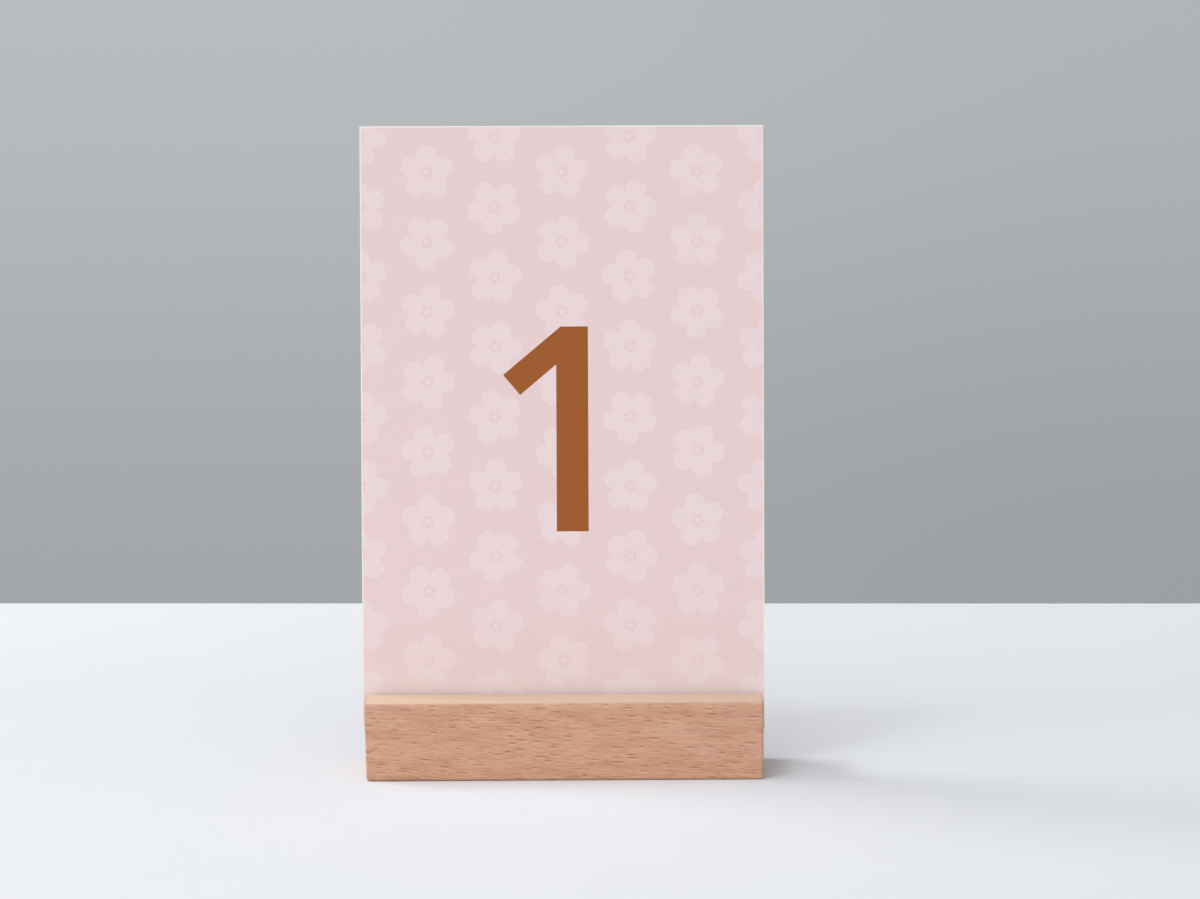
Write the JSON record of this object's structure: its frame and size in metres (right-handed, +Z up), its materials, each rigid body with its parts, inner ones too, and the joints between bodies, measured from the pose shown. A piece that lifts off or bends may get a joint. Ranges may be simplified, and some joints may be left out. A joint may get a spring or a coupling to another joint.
{
  "type": "table number holder",
  "caption": "Wooden block with a slot sawn along its top that holds an upright printed number card. The card leans back slightly and lifts out.",
  "frame": {"origin": "middle of the block's underside", "axes": "+X along the slot, +Y to the back, +Z up. The card's front faces -Y."},
  "size_m": [0.1016, 0.03, 0.1622],
  "materials": {
    "beech": "planed and sanded beech, matte",
    "printed_card": "matte uncoated card, printed"
  },
  "bodies": {
    "base": {"slotted_block": "beech"},
    "card": {"number_card": "printed_card"}
  },
  "joints": [
    {"name": "card_lift", "type": "slide", "parent": "base", "child": "card", "axis": [0, 0.0781, 0.9969], "range_m": [0, 0.02]}
  ]
}
